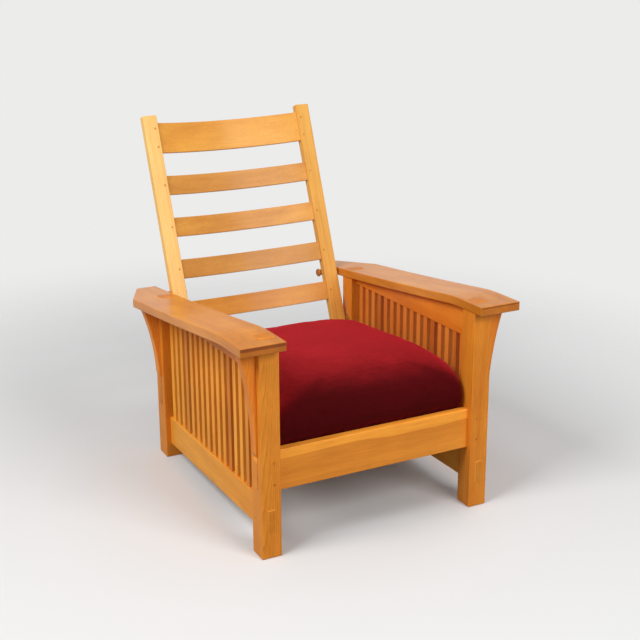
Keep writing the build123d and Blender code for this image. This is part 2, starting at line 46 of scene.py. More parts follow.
def oak_finish(name, grain, heart, light, dark, gloss=0.40, end=(0.86, 0.76, 0.64), coat=0.06,
               figure=0.6):
    """Varnished oak. The board is turned so that its grain runs along local Z and shifted so that
    the tree's heart lies beside it. Annual rings are circles about that heart, pulled out of true
    by slow noise; broad streaks, fine fibre and short dark pores are noise drawn out along Z.
    Where the surface faces along Z, the end grain has drunk more stain and takes the end tint.
    gloss is the least roughness, coat the varnish's weight, and figure says how strongly the
    rings show."""
    oak = bpy.data.materials.new(name)
    oak.use_nodes = True
    parts, wires = oak.node_tree.nodes, oak.node_tree.links
    shader = parts["Principled BSDF"]

    def part(kind, **values):
        made = parts.new(kind)
        for key, value in values.items():
            if hasattr(made, key):
                setattr(made, key, value)
            else:
                made.inputs[key].default_value = value
        return made

    def ramp(source, stops):
        made = parts.new("ShaderNodeValToRGB")
        strip = made.color_ramp.elements
        while len(strip) < len(stops):
            strip.new(0.5)
        for stop, (at, colour) in zip(strip, stops):
            stop.position, stop.color = at, (*colour, 1.0)
        wires.new(source, made.inputs["Fac"])
        return made.outputs["Color"]

    def blend(kind, amount, under, over):
        made = parts.new("ShaderNodeMix")
        made.data_type, made.blend_type = "RGBA", kind
        if isinstance(amount, float):
            made.inputs["Factor"].default_value = amount
        else:
            wires.new(amount, made.inputs["Factor"])
        wires.new(under, made.inputs["A"])
        wires.new(over, made.inputs["B"])
        return made.outputs["Result"]

    place = part("ShaderNodeTexCoord")
    board = part("ShaderNodeMapping", Rotation=grain, Location=heart)
    wires.new(place.outputs["Object"], board.inputs["Vector"])
    drawn = {}
    for stretch in (0.05, 0.018):
        drawn[stretch] = part("ShaderNodeMapping", Scale=(1.0, 1.0, stretch))
        wires.new(board.outputs["Vector"], drawn[stretch].inputs["Vector"])

    rings = part("ShaderNodeTexWave", wave_type="RINGS", rings_direction="Z", wave_profile="SAW",
                 Scale=88.0, Distortion=9.0, Detail=3.0)
    rings.inputs["Detail Scale"].default_value = 0.22
    rings.inputs["Detail Roughness"].default_value = 0.62
    streak = part("ShaderNodeTexNoise", Scale=24.0, Detail=4.0, Roughness=0.6)
    fibre = part("ShaderNodeTexNoise", Scale=620.0, Detail=3.0, Roughness=0.55)
    pores = part("ShaderNodeTexNoise", Scale=1300.0, Detail=1.0, Roughness=0.4)
    blotch = part("ShaderNodeTexNoise", Scale=9.0, Detail=2.0, Roughness=0.5)
    facing = part("ShaderNodeMapping", Rotation=grain, vector_type="NORMAL")
    wires.new(place.outputs["Normal"], facing.inputs["Vector"])
    along = part("ShaderNodeSeparateXYZ")
    wires.new(facing.outputs["Vector"], along.inputs["Vector"])
    squared = part("ShaderNodeMath", operation="MULTIPLY")
    wires.new(along.outputs["Z"], squared.inputs[0])
    wires.new(along.outputs["Z"], squared.inputs[1])
    wires.new(drawn[0.05].outputs["Vector"], rings.inputs["Vector"])
    wires.new(drawn[0.05].outputs["Vector"], streak.inputs["Vector"])
    wires.new(drawn[0.018].outputs["Vector"], fibre.inputs["Vector"])
    wires.new(drawn[0.018].outputs["Vector"], pores.inputs["Vector"])
    wires.new(board.outputs["Vector"], blotch.inputs["Vector"])

    middle = tuple((a + b) / 2 for a, b in zip(light, dark))
    wood = ramp(streak.outputs["Fac"], [(0.30, dark), (0.5, middle), (0.70, light)])
    ring_tint = ramp(rings.outputs["Fac"], [(0.0, (0.74, 0.62, 0.50)), (0.25, (0.94, 0.91, 0.86)),
                                            (1.0, (1.04, 1.03, 1.0))])
    fibre_tint = ramp(fibre.outputs["Fac"], [(0.3, (0.84, 0.78, 0.70)), (0.62, (1.06, 1.05, 1.03))])
    end_tint = ramp(squared.outputs["Value"], [(0.55, (1.0, 1.0, 1.0)), (0.95, end)])
    pore_mask = ramp(pores.outputs["Fac"], [(0.60, (0.0, 0.0, 0.0)), (0.70, (1.0, 1.0, 1.0))])
    blotch_tint = ramp(blotch.outputs["Fac"], [(0.3, (0.90, 0.85, 0.78)), (0.7, (1.05, 1.04, 1.02))])
    pore_tint = ramp(pores.outputs["Fac"], [(0.60, (1.0, 1.0, 1.0)), (0.70, (0.66, 0.55, 0.45))])
    for tint, amount in ((ring_tint, figure), (fibre_tint, 0.6), (pore_tint, 0.35),
                         (blotch_tint, 0.7), (end_tint, 1.0)):
        wood = blend("MULTIPLY", amount, wood, tint)
    wires.new(wood, shader.inputs["Base Color"])

    polish = part("ShaderNodeMapRange")
    for socket, value in (("From Min", 0.3), ("From Max", 0.7), ("To Min", gloss),
                          ("To Max", gloss + 0.14)):
        polish.inputs[socket].default_value = value
    wires.new(fibre.outputs["Fac"], polish.inputs["Value"])
    wires.new(polish.outputs["Result"], shader.inputs["Roughness"])
    open_grain = part("ShaderNodeBump", Strength=0.25, Distance=0.00025, invert=True)
    wires.new(pore_mask, open_grain.inputs["Height"])
    combed = part("ShaderNodeBump", Strength=0.12, Distance=0.0002)
    wires.new(fibre.outputs["Fac"], combed.inputs["Height"])
    wires.new(open_grain.outputs["Normal"], combed.inputs["Normal"])
    wires.new(combed.outputs["Normal"], shader.inputs["Normal"])
    shader.inputs["Specular IOR Level"].default_value = 0.18
    shader.inputs["Coat Weight"].default_value = coat
    shader.inputs["Coat Roughness"].default_value = 0.16
    return oak


def finish_node(name, material):
    """Gives a solid from the model its finished material."""
    slots = nodes[name].data.materials
    slots.clear()
    slots.append(material)


honey_light, honey_dark = (0.90, 0.345, 0.036), (0.70, 0.220, 0.017)
leg_hearts = {"front_left_leg": (0.36, 0.42, 0.1), "front_right_leg": (-0.35, 0.51, 0.7),
              "rear_left_leg": (0.29, -0.23, 1.3), "rear_right_leg": (-0.30, -0.19, 2.2)}
for leg, heart in leg_hearts.items():
    finish_node(leg, oak_finish(leg + "_oak", UP_THE_PIECE, heart, honey_light, honey_dark,
                                end=(0.80, 0.75, 0.68), figure=0.8))

# Lower side rails: broad boards between the legs, tenoned right through them.
# Their grain runs front to back, with a little more figure than the legs.
rail_light, rail_dark = (1.0, 0.460, 0.056), (0.89, 0.320, 0.029)
for side, heart in (("left", (0.45, 0.06, 0.0)), ("right", (-0.47, 0.16, 1.1))):
    finish_node(side + "_lower_rail", oak_finish(side + "_lower_rail_oak", FRONT_TO_BACK, heart,
                                                 rail_light, rail_dark, end=(0.74, 0.66, 0.56)))

# Spindles: square bars let into the rails, sanded soft on their edges.
# Sawn from odd offcuts, so that each bar has its own tone, some of them browner. The right
# panel's are painted darker and redder than the left one's: painted shade, and the red glow
# that the velvet throws on their inner faces.
frame_lean = math.atan(28.5 / 675.0)
frame_shift = -0.139874
frame_front = 0.366
spindle_pitch, first_spindle = 0.03747, -0.2810


def squared_up(parts, wires):
    """Object coordinates tipped forward again, so that the legs stand plumb and Y and Z are the
    depth from the frame's middle and the height over the front feet."""
    place = parts.new("ShaderNodeTexCoord")
    upright = parts.new("ShaderNodeMapping")
    upright.inputs["Rotation"].default_value = (frame_lean, 0.0, 0.0)
    ahead = frame_front - frame_shift
    upright.inputs["Location"].default_value = (0.0, ahead * math.cos(frame_lean) - frame_front,
                                                ahead * math.sin(frame_lean))
    wires.new(place.outputs["Object"], upright.inputs["Vector"])
    apart = parts.new("ShaderNodeSeparateXYZ")
    wires.new(upright.outputs["Vector"], apart.inputs["Vector"])
    return apart.outputs


def retint(material, source, stops):
    """Multiplies a finish's colour by a ramp over another value."""
    parts, wires = material.node_tree.nodes, material.node_tree.links
    under = parts["Principled BSDF"].inputs["Base Color"].links[0].from_socket
    made = parts.new("ShaderNodeValToRGB")
    strip = made.color_ramp.elements
    while len(strip) < len(stops):
        strip.new(0.5)
    for stop, (at, colour) in zip(strip, stops):
        stop.position, stop.color = at, (*colour, 1.0)
    wires.new(source, made.inputs["Fac"])
    over = parts.new("ShaderNodeMix")
    over.data_type, over.blend_type = "RGBA", "MULTIPLY"
    over.inputs["Factor"].default_value = 1.0
    wires.new(under, over.inputs["A"])
    wires.new(made.outputs["Color"], over.inputs["B"])
    wires.new(over.outputs["Result"], parts["Principled BSDF"].inputs["Base Color"])


def odd_bars(material):
    """A tone for each bar: white noise of its number along the panel."""
    parts, wires = material.node_tree.nodes, material.node_tree.links
    count = parts.new("ShaderNodeMath")
    count.operation = "MULTIPLY_ADD"
    count.inputs[1].default_value = 1.0 / spindle_pitch
    count.inputs[2].default_value = 0.5 - first_spindle / spindle_pitch
    wires.new(squared_up(parts, wires)["Y"], count.inputs[0])
    number = parts.new("ShaderNodeMath")
    number.operation = "FLOOR"
    wires.new(count.outputs["Value"], number.inputs[0])
    lot = parts.new("ShaderNodeTexWhiteNoise")
    lot.noise_dimensions = "1D"
    wires.new(number.outputs["Value"], lot.inputs["W"])
    retint(material, lot.outputs["Value"],
           [(0.0, (0.78, 0.64, 0.60)), (0.22, (0.86, 0.75, 0.71)), (0.30, (0.98, 0.96, 0.92)),
            (1.0, (1.08, 1.09, 1.04))])


# The right panel's darker, redder tones are painted shade and painted red bounce light.
for side, heart, light, dark in (
        ("left", (0.52, 0.3, 0.4), (1.0, 0.475, 0.066), (0.95, 0.340, 0.034)),
        ("right", (-0.5, 0.7, 1.9), (0.84, 0.305, 0.054), (0.76, 0.210, 0.029))):
    bars = oak_finish(side + "_spindle_oak", UP_THE_PIECE, heart, light, dark, coat=0.0)
    odd_bars(bars)
    finish_node(side + "_spindles", bars)

# Upper side rails: straight below and scribed to the bow of the arm above.
# A redder board than the legs.
for side, heart in (("left", (0.44, -0.40, 0.5)), ("right", (-0.43, -0.38, 1.6))):
    finish_node(side + "_upper_rail", oak_finish(side + "_upper_rail_oak", FRONT_TO_BACK, heart,
                                                 (0.96, 0.33, 0.034), (0.78, 0.215, 0.017)))

# Arms: broad boards sprung down behind the front legs, the grain running along them. Hands and
# sleeves have rubbed their tops shinier than the rest and darkened them in front, and a dark
# band crosses each front end near its top edge.
def dark_end_band(material, low, high):
    """Darkens the front end face between two heights in the square frame, softly, by a ramp over
    the heights from foot to head, which take in the arm's whole end."""
    foot, head = 0.57, 0.61
    parts, wires = material.node_tree.nodes, material.node_tree.links
    height = parts.new("ShaderNodeMapRange")
    height.inputs["From Min"].default_value, height.inputs["From Max"].default_value = foot, head
    wires.new(squared_up(parts, wires)["Z"], height.inputs["Value"])
    facing = parts.new("ShaderNodeTexCoord")
    apart = parts.new("ShaderNodeSeparateXYZ")
    wires.new(facing.outputs["Normal"], apart.inputs["Vector"])
    forward = parts.new("ShaderNodeMath")
    forward.operation = "LESS_THAN"
    forward.inputs[1].default_value = -0.9
    wires.new(apart.outputs["Y"], forward.inputs[0])
    line = parts.new("ShaderNodeMath")
    line.operation = "MULTIPLY"
    wires.new(height.outputs["Result"], line.inputs[0])
    wires.new(forward.outputs["Value"], line.inputs[1])
    start, end = (low - foot) / (head - foot), (high - foot) / (head - foot)
    retint(material, line.outputs["Value"],
           [(0.0, (1.0, 1.0, 1.0)), (start - 0.03, (1.0, 1.0, 1.0)), (start + 0.03, (0.58, 0.46, 0.36)),
            (end - 0.02, (0.46, 0.34, 0.25)), (end + 0.02, (1.0, 1.0, 1.0))])


def handled(material):
    """Darkens an arm towards its front end, by a ramp on the depth in the square frame."""
    parts, wires = material.node_tree.nodes, material.node_tree.links
    depth = parts.new("ShaderNodeMapRange")
    depth.interpolation_type = "SMOOTHSTEP"
    depth.inputs["From Min"].default_value, depth.inputs["From Max"].default_value = -0.38, -0.20
    wires.new(squared_up(parts, wires)["Y"], depth.inputs["Value"])
    retint(material, depth.outputs["Result"], [(0.0, (0.82, 0.77, 0.68)), (1.0, (1.0, 1.0, 1.0))])


for side, heart, low, high in (("left", (0.40, -0.47, 0.2), 0.5885, 0.5972),
                               ("right", (-0.31, -0.52, 1.2), 0.5945, 0.5978)):
    board = oak_finish(side + "_arm_oak", FRONT_TO_BACK, heart, (0.82, 0.325, 0.034),
                       (0.64, 0.215, 0.018), gloss=0.28, end=(0.90, 0.80, 0.70), coat=0.20,
                       figure=0.4)
    handled(board)
    dark_end_band(board, low, high)
    finish_node(side + "_arm", board)

# Corbels: curved brackets glued to the legs' outer faces under the arms.
# Cut from short offcuts with the grain upright. The front pair are painted darker and redder:
# painted shade on their fronts, set back under the arms.
for number, (name, light, dark) in enumerate((
        ("front_left_corbel", (0.90, 0.300, 0.029), (0.72, 0.190, 0.014)),
        ("front_right_corbel", (0.92, 0.325, 0.034), (0.72, 0.205, 0.017)),
        ("rear_left_corbel", (0.98, 0.385, 0.050), (0.82, 0.255, 0.026)),
        ("rear_right_corbel", (0.95, 0.350, 0.040), (0.76, 0.225, 0.020)))):
    finish_node(name, oak_finish(name + "_oak", UP_THE_PIECE, (0.4 + 0.13 * number, 0.37, 0.6 * number),
                                 light, dark))

# Seat rails: front and rear boards that tie the two sides and carry the seat, tenoned right
# through the legs. The front one is paler along its upper edge, above a wandering line.
def pale_upper_band(material, top, depth, wander, pale):
    """Lightens a rail above a line that wanders along it: noise of X alone moves the line up and
    down about its depth under the rail's top edge."""
    parts, wires = material.node_tree.nodes, material.node_tree.links
    place = squared_up(parts, wires)
    drift = parts.new("ShaderNodeTexNoise")
    drift.noise_dimensions = "1D"
    drift.inputs["Scale"].default_value = 4.0
    drift.inputs["Detail"].default_value = 1.0
    wires.new(place["X"], drift.inputs["W"])
    over = parts.new("ShaderNodeMath")
    over.operation = "MULTIPLY_ADD"
    over.inputs[1].default_value = wander
    wires.new(drift.outputs["Fac"], over.inputs[0])
    wires.new(place["Z"], over.inputs[2])
    mask = parts.new("ShaderNodeMapRange")
    mask.interpolation_type = "SMOOTHSTEP"
    middle = top - depth + wander / 2
    mask.inputs["From Min"].default_value = middle - 0.0018
    mask.inputs["From Max"].default_value = middle + 0.0018
    wires.new(over.outputs["Value"], mask.inputs["Value"])
    retint(material, mask.outputs["Result"], [(0.0, (1.0, 1.0, 1.0)), (1.0, pale)])


front_rail_oak = oak_finish("front_seat_rail_oak", ACROSS_THE_CHAIR, (-0.19, 0.47, 0.0),
                            (0.88, 0.330, 0.038), (0.73, 0.240, 0.022), figure=0.4,
                            end=(1.06, 1.04, 0.98))
pale_upper_band(front_rail_oak, 0.2925, 0.026, 0.026, (1.30, 1.44, 1.55))
finish_node("front_seat_rail", front_rail_oak)
finish_node("rear_seat_rail", oak_finish("rear_seat_rail_oak", ACROSS_THE_CHAIR, (-0.21, -0.24, 0.9),
                                         (0.74, 0.275, 0.036), (0.54, 0.160, 0.015),
                                         end=(1.02, 0.96, 0.88)))

# Frame pins: turned oak pegs driven through the tenons and cut off just proud.
# Their ends take a little more stain, so they show as faint darker dots.
finish_node("frame_pins", oak_finish("pin_end_grain", FRONT_TO_BACK, (0.9, 0.8, 0.0),
                                     (0.76, 0.275, 0.030), (0.58, 0.18, 0.016), end=(0.9, 0.84, 0.76)))

# Seat cleats: rough pine strips screwed inside the seat rails, never varnished.
# The seat frame's boards are of the same pine.
pine_light, pine_dark = (0.74, 0.55, 0.33), (0.60, 0.40, 0.21)
pine = oak_finish("bare_pine", ACROSS_THE_CHAIR, (0.13, 0.3, 0.0), pine_light, pine_dark,
                  gloss=0.62, coat=0.0)
pine_lengthwise = oak_finish("bare_pine_lengthwise", FRONT_TO_BACK, (0.5, 0.2, 0.0), pine_light,
                             pine_dark, gloss=0.62, coat=0.0)
for name in ("front_seat_cleat", "rear_seat_cleat", "seat_front_board", "seat_rear_board"):
    finish_node(name, pine)
for name in ("seat_left_board", "seat_right_board"):
    finish_node(name, pine_lengthwise)


# Screws: zinc-plated wood screws, through the cleats into the rails and up into the seat frame.
# The pivot pins are plain steel rod, the spacer rings beside them brass gone dull.
def worn_metal(name, colour, dull, roughness):
    """Metal whose colour drifts to a duller one and whose roughness drifts with it, by noise."""
    metal = bpy.data.materials.new(name)
    metal.use_nodes = True
    parts, wires = metal.node_tree.nodes, metal.node_tree.links
    shader = parts["Principled BSDF"]
    place = parts.new("ShaderNodeTexCoord")
    film = parts.new("ShaderNodeTexNoise")
    film.inputs["Scale"].default_value = 180.0
    film.inputs["Detail"].default_value = 4.0
    wires.new(place.outputs["Object"], film.inputs["Vector"])
    tone = parts.new("ShaderNodeValToRGB")
    tone.color_ramp.elements[0].position, tone.color_ramp.elements[0].color = 0.35, (*dull, 1.0)
    tone.color_ramp.elements[1].position, tone.color_ramp.elements[1].color = 0.65, (*colour, 1.0)
    wires.new(film.outputs["Fac"], tone.inputs["Fac"])
    wires.new(tone.outputs["Color"], shader.inputs["Base Color"])
    rub = parts.new("ShaderNodeMapRange")
    rub.inputs["To Min"].default_value = roughness + 0.15
    rub.inputs["To Max"].default_value = roughness - 0.05
    wires.new(film.outputs["Fac"], rub.inputs["Value"])
    wires.new(rub.outputs["Result"], shader.inputs["Roughness"])
    shader.inputs["Metallic"].default_value = 1.0
    return metal


zinc = worn_metal("zinc_plate", (0.60, 0.61, 0.62), (0.42, 0.42, 0.41), 0.38)
for name in ("front_cleat_screws", "rear_cleat_screws", "front_seat_screws", "rear_seat_screws"):
    finish_node(name, zinc)
steel_rod = worn_metal("steel_rod", (0.52, 0.52, 0.54), (0.36, 0.34, 0.32), 0.34)
dull_brass = worn_metal("dull_brass", (0.62, 0.44, 0.17), (0.40, 0.27, 0.10), 0.36)
for side in ("left", "right"):
    finish_node(side + "_pivot_pin", steel_rod)
    finish_node(side + "_pivot_spacer", dull_brass)


# Webbing: flat jute straps tacked across the seat frame, one layer each way.
# The weave is a plain one, darker in the hollows between its threads.
def jute_weave(name):
    """Plain weave: two sets of threads as sine bands at right angles, lifted where they cross."""
    jute = bpy.data.materials.new(name)
    jute.use_nodes = True
    parts, wires = jute.node_tree.nodes, jute.node_tree.links
    shader = parts["Principled BSDF"]
    place = parts.new("ShaderNodeTexCoord")
    bands = []
    for direction in ("X", "Y"):
        band = parts.new("ShaderNodeTexWave")
        band.wave_type, band.bands_direction = "BANDS", direction
        band.inputs["Scale"].default_value = 170.0
        band.inputs["Distortion"].default_value = 1.2
        band.inputs["Detail Scale"].default_value = 1.5
        wires.new(place.outputs["Object"], band.inputs["Vector"])
        bands.append(band.outputs["Fac"])
    lift = parts.new("ShaderNodeMath")
    lift.operation = "MULTIPLY"
    wires.new(bands[0], lift.inputs[0])
    wires.new(bands[1], lift.inputs[1])
    tone = parts.new("ShaderNodeValToRGB")
    tone.color_ramp.elements[0].color = (0.22, 0.15, 0.075, 1.0)
    tone.color_ramp.elements[1].color = (0.55, 0.42, 0.25, 1.0)
    wires.new(lift.outputs["Value"], tone.inputs["Fac"])
    wires.new(tone.outputs["Color"], shader.inputs["Base Color"])
    bump = parts.new("ShaderNodeBump")
    bump.inputs["Strength"].default_value = 0.6
    bump.inputs["Distance"].default_value = 0.0006
    wires.new(lift.outputs["Value"], bump.inputs["Height"])
    wires.new(bump.outputs["Normal"], shader.inputs["Normal"])
    shader.inputs["Roughness"].default_value = 0.9
    return jute


jute = jute_weave("jute_webbing")
finish_node("webbing_across", jute)
finish_node("webbing_lengthwise", jute)

# Seat: springs and padding under crimson velvet, drawn tight over a loose frame. Upright low
# sides stand between the rails and legs, the front rolls out over the front rail, and the crown
# is full. The velvet is turned under the frame and tacked.
seat_half, seat_front, seat_rear = 0.2905, -0.3235, 0.3030
seat_low, seat_top = 0.2647, 0.4455
rail_top, furthest_front = 0.2935, -0.3470
tacked_height, most_swell = 0.022, 0.006
frame_underside, cover_edge, turned_thickness = 0.2402, 0.2655, 0.0021


def stand_on_floor(points):
    """Tips points from the square frame back about the front feet, and centres them."""
    out = points.copy()
    ahead = points[:, 1] + frame_front
    out[:, 1] = ahead * math.cos(frame_lean) + points[:, 2] * math.sin(frame_lean)
    out[:, 1] += frame_shift - frame_front
    out[:, 2] = points[:, 2] * math.cos(frame_lean) - ahead * math.sin(frame_lean)
    return out


def rounded_outline(half, front, rear, radius, steps=24):
    """Rounded rectangle: four quarter circles, each about its own corner's centre."""
    turn = np.linspace(0.0, math.pi / 2, steps)
    turns = np.concatenate([turn + k * math.pi / 2 for k in range(4)])
    across = np.repeat([half - radius, radius - half, radius - half, half - radius], steps)
    along = np.repeat([rear - radius, rear - radius, front + radius, front + radius], steps)
    return np.stack([across + radius * np.cos(turns), along + radius * np.sin(turns)], axis=1)


def seat_form(slack):
    """The seat's closed skin: rounded outlines stacked from the webbing to the crown. Low down
    the front swells over the rail. Above the shoulder the outline draws in by (1 - cos(a))^1.8
    while the height climbs by sin(a), its corners round on and it tilts down to the rear.
    slack shrinks it before it is filled."""
    rise = seat_top - seat_low
    rows = []
    for share, bulge in ((0.0, 0.0), (0.163, 0.0), (0.185, 0.5), (0.24, 0.82), (0.32, 1.0),
                         (0.365, 0.98)):
        outline = rounded_outline(seat_half - slack, seat_front + slack - 0.0205 * bulge,
                                  seat_rear - slack, 0.012)
        rows.append(np.column_stack([outline, np.full(len(outline), seat_low + share * rise)]))
    for angle in np.radians(np.linspace(0.0, 87.0, 22)):
        draw = 1.0 - math.cos(angle)
        half = seat_half - slack - 0.204 * draw ** 1.8
        front = seat_front + slack - 0.0195 * (1 - draw) + 0.41825 * draw ** 1.8
        rear = seat_rear - slack - 0.16025 * draw ** 1.8
        largest = 0.96 * min(half, (rear - front) / 2)
        outline = rounded_outline(half, front, rear, 0.012 + (largest - 0.012) * draw ** 0.7)
        height = seat_low + (0.404 + 0.596 * math.sin(angle)) * (rise - slack)
        fall = math.sin(angle) * math.tan(math.radians(6.1)) * (outline[:, 1] + 0.01025)
        rows.append(np.column_stack([outline, height - fall]))
    return np.array(rows)


def skin_mesh(name, rows):
    """Closed mesh over stacked rings: quads between rings, fans to the middles of the end rings."""
    count, around = rows.shape[0], rows.shape[1]
    points = np.concatenate([rows.reshape(-1, 3), [rows[0].mean(0)], [rows[-1].mean(0)]])
    ring, step = np.meshgrid(np.arange(count - 1), np.arange(around), indexing="ij")
    after = (step + 1) % around
    quads = np.stack([ring * around + step, ring * around + after,
                      (ring + 1) * around + after, (ring + 1) * around + step], axis=-1).reshape(-1, 4)
    edge = np.arange(around)
    bottom = np.column_stack([(edge + 1) % around, edge, np.full(around, count * around)])
    top = np.column_stack([(count - 1) * around + edge, (count - 1) * around + (edge + 1) % around,
                           np.full(around, count * around + 1)])
    mesh = bpy.data.meshes.new(name)
    mesh.from_pydata(points.tolist(), [], quads.tolist() + bottom.tolist() + top.tolist())
    mesh.update()
    return mesh


def settle(piece):
    """Applies a piece's modifiers to its mesh."""
    evaluated = piece.evaluated_get(bpy.context.evaluated_depsgraph_get())
    mesh = bpy.data.meshes.new_from_object(evaluated)
    old = piece.data
    piece.modifiers.clear()
    piece.data = mesh
    mesh.name = old.name
    bpy.data.meshes.remove(old)


def get_points(mesh):
    """A mesh's vertices as an array."""
    flat = np.empty(len(mesh.vertices) * 3, np.float32)
    mesh.vertices.foreach_get("co", flat)
    return flat.reshape(-1, 3).astype(float)


def set_points(mesh, points):
    """Writes an array back to a mesh's vertices."""
    mesh.vertices.foreach_set("co", points.astype(np.float32).ravel())
    mesh.update()


seat = bpy.data.objects.new("velvet_seat", skin_mesh("velvet_seat", seat_form(0.003)))
bpy.context.scene.collection.objects.link(seat)
remesh = seat.modifiers.new("even skin", "REMESH")
remesh.mode, remesh.voxel_size = "VOXEL", 0.0070
settle(seat)
slack_points = get_points(seat.data)
held = seat.vertex_groups.new(name="tacked")
tacked = np.where(slack_points[:, 2] < seat_low + tacked_height)[0]
held.add(tacked.tolist(), 1.0, "REPLACE")
fill = seat.modifiers.new("fill", "CLOTH")
fill.settings.vertex_group_mass = "tacked"
fill.settings.use_pressure = True
fill.settings.uniform_pressure_force = 5.0
fill.settings.shrink_min = -0.02
fill.settings.tension_stiffness = 12.0
fill.settings.compression_stiffness = 12.0
fill.settings.bending_stiffness = 0.6
fill.settings.effector_weights.gravity = 0.0
fill.point_cache.frame_start, fill.point_cache.frame_end = 1, 20
for step in range(1, 21):
    bpy.context.scene.frame_set(step)
settle(seat)
bpy.context.scene.frame_set(1)
filled = get_points(seat.data)
swell = filled - slack_points
reach = np.linalg.norm(swell, axis=1, keepdims=True)
filled = slack_points + swell * np.minimum(1.0, most_swell / np.maximum(reach, 1e-9))
filled[:, 0] *= 1.006 * seat_half / np.abs(filled[:, 0]).max()
filled[:, 0] = np.clip(filled[:, 0], -seat_half, seat_half)
below_rail = filled[:, 2] < rail_top
filled[:, 1] = np.where(below_rail, np.maximum(filled[:, 1], seat_front), filled[:, 1])
filled[:, 1] = np.clip(filled[:, 1], furthest_front, seat_rear)
filled[:, 2] = np.maximum(filled[:, 2], seat_low)
set_points(seat.data, stand_on_floor(filled))


# The turned-under velvet: a strip round the seat frame's edge, from the seat down to its underside.
def turned_under():
    """Closed band round the frame: four rounded outlines, outside up and inside down."""
    rows = []
    for inset, height in ((0.0, frame_underside), (0.0, cover_edge),
                          (turned_thickness, cover_edge), (turned_thickness, frame_underside)):
        outline = rounded_outline(seat_half - inset, seat_front + inset, seat_rear - inset, 0.0045, 8)
        rows.append(np.column_stack([outline, np.full(len(outline), height)]))
    return np.array(rows)


band_rows = turned_under()
around = band_rows.shape[1]
corner, step = np.meshgrid(np.arange(4), np.arange(around), indexing="ij")
after, next_row = (step + 1) % around, (corner + 1) % 4
band_faces = np.stack([corner * around + step, corner * around + after,
                       next_row * around + after, next_row * around + step], axis=-1).reshape(-1, 4)
band_mesh = bpy.data.meshes.new("velvet_turned_under")
band_mesh.from_pydata(stand_on_floor(band_rows.reshape(-1, 3)).tolist(), [], band_faces.tolist())
band_mesh.update()
band = bpy.data.objects.new("velvet_turned_under", band_mesh)
bpy.context.scene.collection.objects.link(band)


